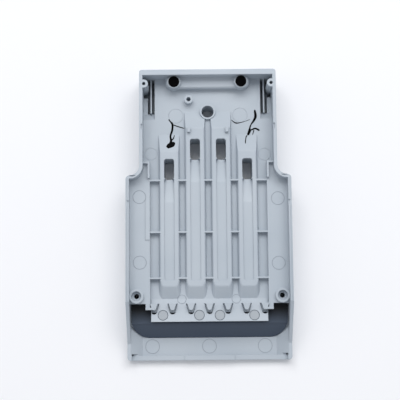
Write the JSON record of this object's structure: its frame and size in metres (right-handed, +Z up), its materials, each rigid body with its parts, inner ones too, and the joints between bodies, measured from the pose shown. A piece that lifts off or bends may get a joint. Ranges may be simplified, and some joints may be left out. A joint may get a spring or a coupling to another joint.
{
  "type": "injection moulded plastic housing",
  "caption": "Moulded tray housing with a narrow head, slotted raised humps, screw bosses and a dark sloping panel at the chin.",
  "frame": {"origin": "middle of the footprint, on the outer face that lies on the table", "axes": "+Z up out of the open side, +Y towards the narrow head end, +X across"},
  "size_m": [0.0986, 0.1744, 0.026],
  "materials": {
    "housing": "moulded satin",
    "front_panel": "polished dark",
    "rubber": "matte"
  },
  "bodies": {
    "root": {"housing": "housing", "front_panel": "front_panel", "rubber_plug_left": "rubber", "rubber_plug_right": "rubber"}
  },
  "joints": []
}
